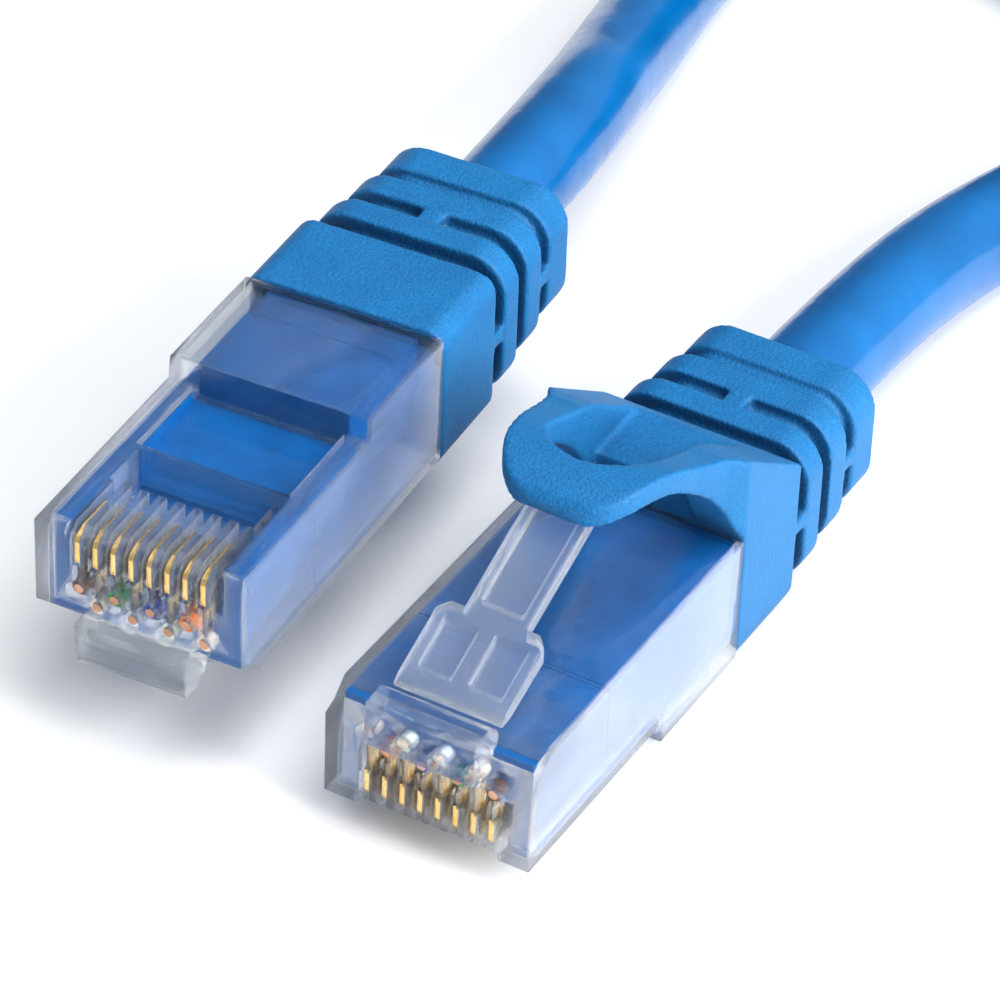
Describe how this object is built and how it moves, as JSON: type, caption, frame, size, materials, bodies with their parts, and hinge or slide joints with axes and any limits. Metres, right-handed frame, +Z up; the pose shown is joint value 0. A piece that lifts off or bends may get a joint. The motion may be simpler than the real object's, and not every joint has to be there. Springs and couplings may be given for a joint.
{
  "type": "ethernet patch cable",
  "caption": "Short ethernet patch cable: clear modular plugs with ribbed boots at both ends of a round cable, one with a snag guard, spare length in a tied coil.",
  "frame": {"origin": "centre of the two plugs' and boots' bounding box, on the surface the cable lies on", "axes": "+Z up; +Y from the plugs' noses towards their boots and the coil; plug B (at +X) lies latch up along +Y, plug A (at -X) lies latch down and is turned 3.66 degrees"},
  "size_m": [0.072, 0.1546, 0.0157],
  "materials": {
    "clear_polycarbonate": "clear moulded polycarbonate, polished",
    "blue_insert": "moulded, satin",
    "blue_boot": "spark-eroded mould texture, satin",
    "blue_jacket": "smooth glossy extruded PVC",
    "gold_contact": "gold plated",
    "copper": "bare cut ends",
    "white_tape": "thin film",
    "tie_fabric": "woven hook-and-loop tape",
    "wire_orange_white": "extruded insulation",
    "wire_orange": "extruded insulation",
    "wire_green_white": "extruded insulation",
    "wire_blue": "extruded insulation",
    "wire_blue_white": "extruded insulation",
    "wire_green": "extruded insulation",
    "wire_brown_white": "extruded insulation",
    "wire_brown": "extruded insulation"
  },
  "bodies": {
    "cable": {"housing_a": "clear_polycarbonate", "wire_guide_a": "blue_insert", "copper_cores_a": "copper", "inner_mould_a": "blue_insert", "jacket_end_a": "blue_jacket", "pair_separator_a": "white_tape", "boot_a": "blue_boot", "contact_1_a": "gold_contact", "wire_1_a": "wire_orange_white", "contact_2_a": "gold_contact", "wire_2_a": "wire_orange", "contact_3_a": "gold_contact", "wire_3_a": "wire_green_white", "contact_4_a": "gold_contact", "wire_4_a": "wire_blue", "contact_5_a": "gold_contact", "wire_5_a": "wire_blue_white", "contact_6_a": "gold_contact", "wire_6_a": "wire_green", "contact_7_a": "gold_contact", "wire_7_a": "wire_brown_white", "contact_8_a": "gold_contact", "wire_8_a": "wire_brown", "housing_b": "clear_polycarbonate", "wire_guide_b": "blue_insert", "copper_cores_b": "copper", "inner_mould_b": "blue_insert", "jacket_end_b": "blue_jacket", "pair_separator_b": "white_tape", "boot_b": "blue_boot", "contact_1_b": "gold_contact", "wire_1_b": "wire_orange_white", "contact_2_b": "gold_contact", "wire_2_b": "wire_orange", "contact_3_b": "gold_contact", "wire_3_b": "wire_green_white", "contact_4_b": "gold_contact", "wire_4_b": "wire_blue", "contact_5_b": "gold_contact", "wire_5_b": "wire_blue_white", "contact_6_b": "gold_contact", "wire_6_b": "wire_green", "contact_7_b": "gold_contact", "wire_7_b": "wire_brown_white", "contact_8_b": "gold_contact", "wire_8_b": "wire_brown", "cable_lead_a": "blue_jacket", "cable_lead_b": "blue_jacket", "cable_coil": "blue_jacket", "coil_tie": "tie_fabric"},
    "latch_a": {"latch_a": "clear_polycarbonate"},
    "latch_b": {"latch_b": "clear_polycarbonate"},
    "boot_tab_b": {"boot_tab_b": "blue_boot"}
  },
  "joints": [
    {"name": "boot_tab_b_hinge", "type": "hinge", "parent": "cable", "child": "boot_tab_b", "pos_m": [0.00911, 0.00254, 0.01055], "axis": [1, 0, 0], "range_deg": [0, 14], "stiffness_Nm_per_rad": 0.05},
    {"name": "latch_a_hinge", "type": "hinge", "parent": "cable", "child": "latch_a", "pos_m": [-0.00733, -0.01689, 0.006], "axis": [-0.998, -0.0638, 0], "range_deg": [-10.5, 0], "stiffness_Nm_per_rad": 0.1},
    {"name": "latch_b_hinge", "type": "hinge", "parent": "cable", "child": "latch_b", "pos_m": [0.00911, -0.01616, 0.0082], "axis": [1, 0, 0], "range_deg": [-10.5, 0]}
  ],
  "couplings": [
    {"joint": "latch_b_hinge", "follows": "boot_tab_b_hinge", "ratio": -0.6}
  ]
}
